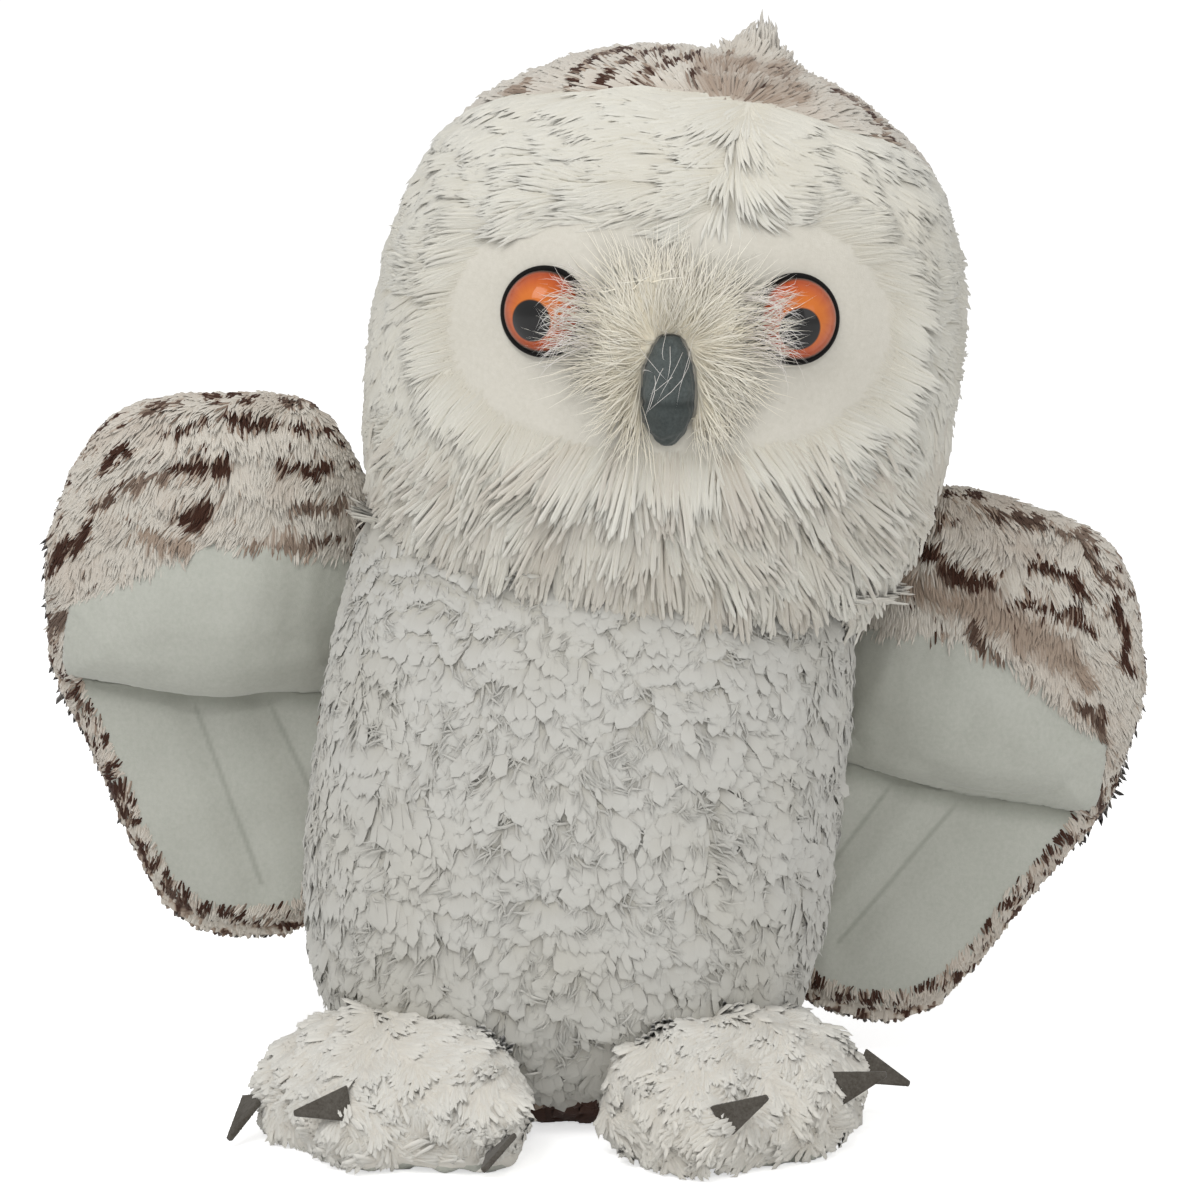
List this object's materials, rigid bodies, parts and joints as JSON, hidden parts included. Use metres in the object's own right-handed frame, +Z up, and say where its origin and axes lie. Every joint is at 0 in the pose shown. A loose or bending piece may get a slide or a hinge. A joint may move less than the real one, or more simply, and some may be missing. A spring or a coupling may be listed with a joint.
{
  "type": "plush owl",
  "caption": "Seated plush owl with spread quilted wings, a shaggy white head with a smooth face disc, domed orange eyes and a felt beak, and lobed feet with felt claws.",
  "frame": {"origin": "on the table, at the middle of the flat seat", "axes": "+Z up; the owl looks along -Y; +X is the viewer's right when facing it"},
  "size_m": [0.2974, 0.1844, 0.2792],
  "materials": {
    "shaggy_plush": "long yarn-like white pile",
    "curly_plush": "short curly white pile",
    "barred_plush": "cream pile printed with broken brown bars",
    "velboa": "smooth short pale nap",
    "face_velboa": "smooth short cream nap",
    "cream_fluff": "fine long cream pile",
    "grey_felt": "dark grey wool felt",
    "black_felt": "black felt",
    "eye_acrylic": "clear dome over orange, black pupil",
    "washer_plastic": "natural plastic",
    "fibre_filling": "white polyester fibre",
    "pellet_cloth": "plain woven bag"
  },
  "bodies": {
    "body": {"body_front_plush": "curly_plush", "body_back_plush": "barred_plush", "body_base_panel": "barred_plush", "body_filling": "fibre_filling", "pellet_bag": "pellet_cloth"},
    "head": {"head_front_plush": "shaggy_plush", "head_hood_plush": "barred_plush", "head_filling": "fibre_filling", "face_disc": "face_velboa", "beak_fluff": "cream_fluff", "beak_felt": "grey_felt", "beak_filling": "fibre_filling", "left_eye": "eye_acrylic", "left_eye_felt_ring": "black_felt", "left_eye_washer": "washer_plastic", "right_eye": "eye_acrylic", "right_eye_felt_ring": "black_felt", "right_eye_washer": "washer_plastic"},
    "left_wing": {"left_wing_back_plush": "barred_plush", "left_wing_front_plush": "barred_plush", "left_wing_pad": "velboa", "left_wing_feather_lining": "velboa", "left_wing_filling": "fibre_filling"},
    "right_wing": {"right_wing_back_plush": "barred_plush", "right_wing_front_plush": "barred_plush", "right_wing_pad": "velboa", "right_wing_feather_lining": "velboa", "right_wing_filling": "fibre_filling"},
    "left_foot": {"left_foot_plush": "curly_plush", "left_foot_sole": "velboa", "left_foot_filling": "fibre_filling", "left_claw_1": "grey_felt", "left_claw_2": "grey_felt", "left_claw_3": "grey_felt"},
    "right_foot": {"right_foot_plush": "curly_plush", "right_foot_sole": "velboa", "right_foot_filling": "fibre_filling", "right_claw_1": "grey_felt", "right_claw_2": "grey_felt", "right_claw_3": "grey_felt"},
    "tail": {"tail_plush": "barred_plush", "tail_lining": "velboa"}
  },
  "joints": [
    {"name": "head_turn", "type": "hinge", "parent": "body", "child": "head", "pos_m": [0.02134, 0, 0.14921], "axis": [0.136, 0, 0.9907], "range_deg": [-20, 20], "stiffness_Nm_per_rad": 0.3},
    {"name": "left_wing_swing", "type": "hinge", "parent": "body", "child": "left_wing", "pos_m": [-0.05816, 0.022, 0.15503], "axis": [0.136, 0, 0.9907], "range_deg": [-25, 25], "stiffness_Nm_per_rad": 0.15},
    {"name": "right_wing_swing", "type": "hinge", "parent": "body", "child": "right_wing", "pos_m": [0.08904, 0.022, 0.13483], "axis": [-0.136, 0, -0.9907], "range_deg": [-25, 25], "stiffness_Nm_per_rad": 0.15},
    {"name": "left_foot_flex", "type": "hinge", "parent": "body", "child": "left_foot", "pos_m": [-0.038, -0.05466, 0.0345], "axis": [-1, 0, 0], "range_deg": [0, 25], "stiffness_Nm_per_rad": 0.15},
    {"name": "right_foot_flex", "type": "hinge", "parent": "body", "child": "right_foot", "pos_m": [0.045, -0.05466, 0.0345], "axis": [-1, 0, 0], "range_deg": [0, 25], "stiffness_Nm_per_rad": 0.15},
    {"name": "tail_lift", "type": "hinge", "parent": "body", "child": "tail", "pos_m": [0.00104, 0.04599, 0.027], "axis": [1, 0, 0], "range_deg": [0, 35], "stiffness_Nm_per_rad": 0.04}
  ]
}
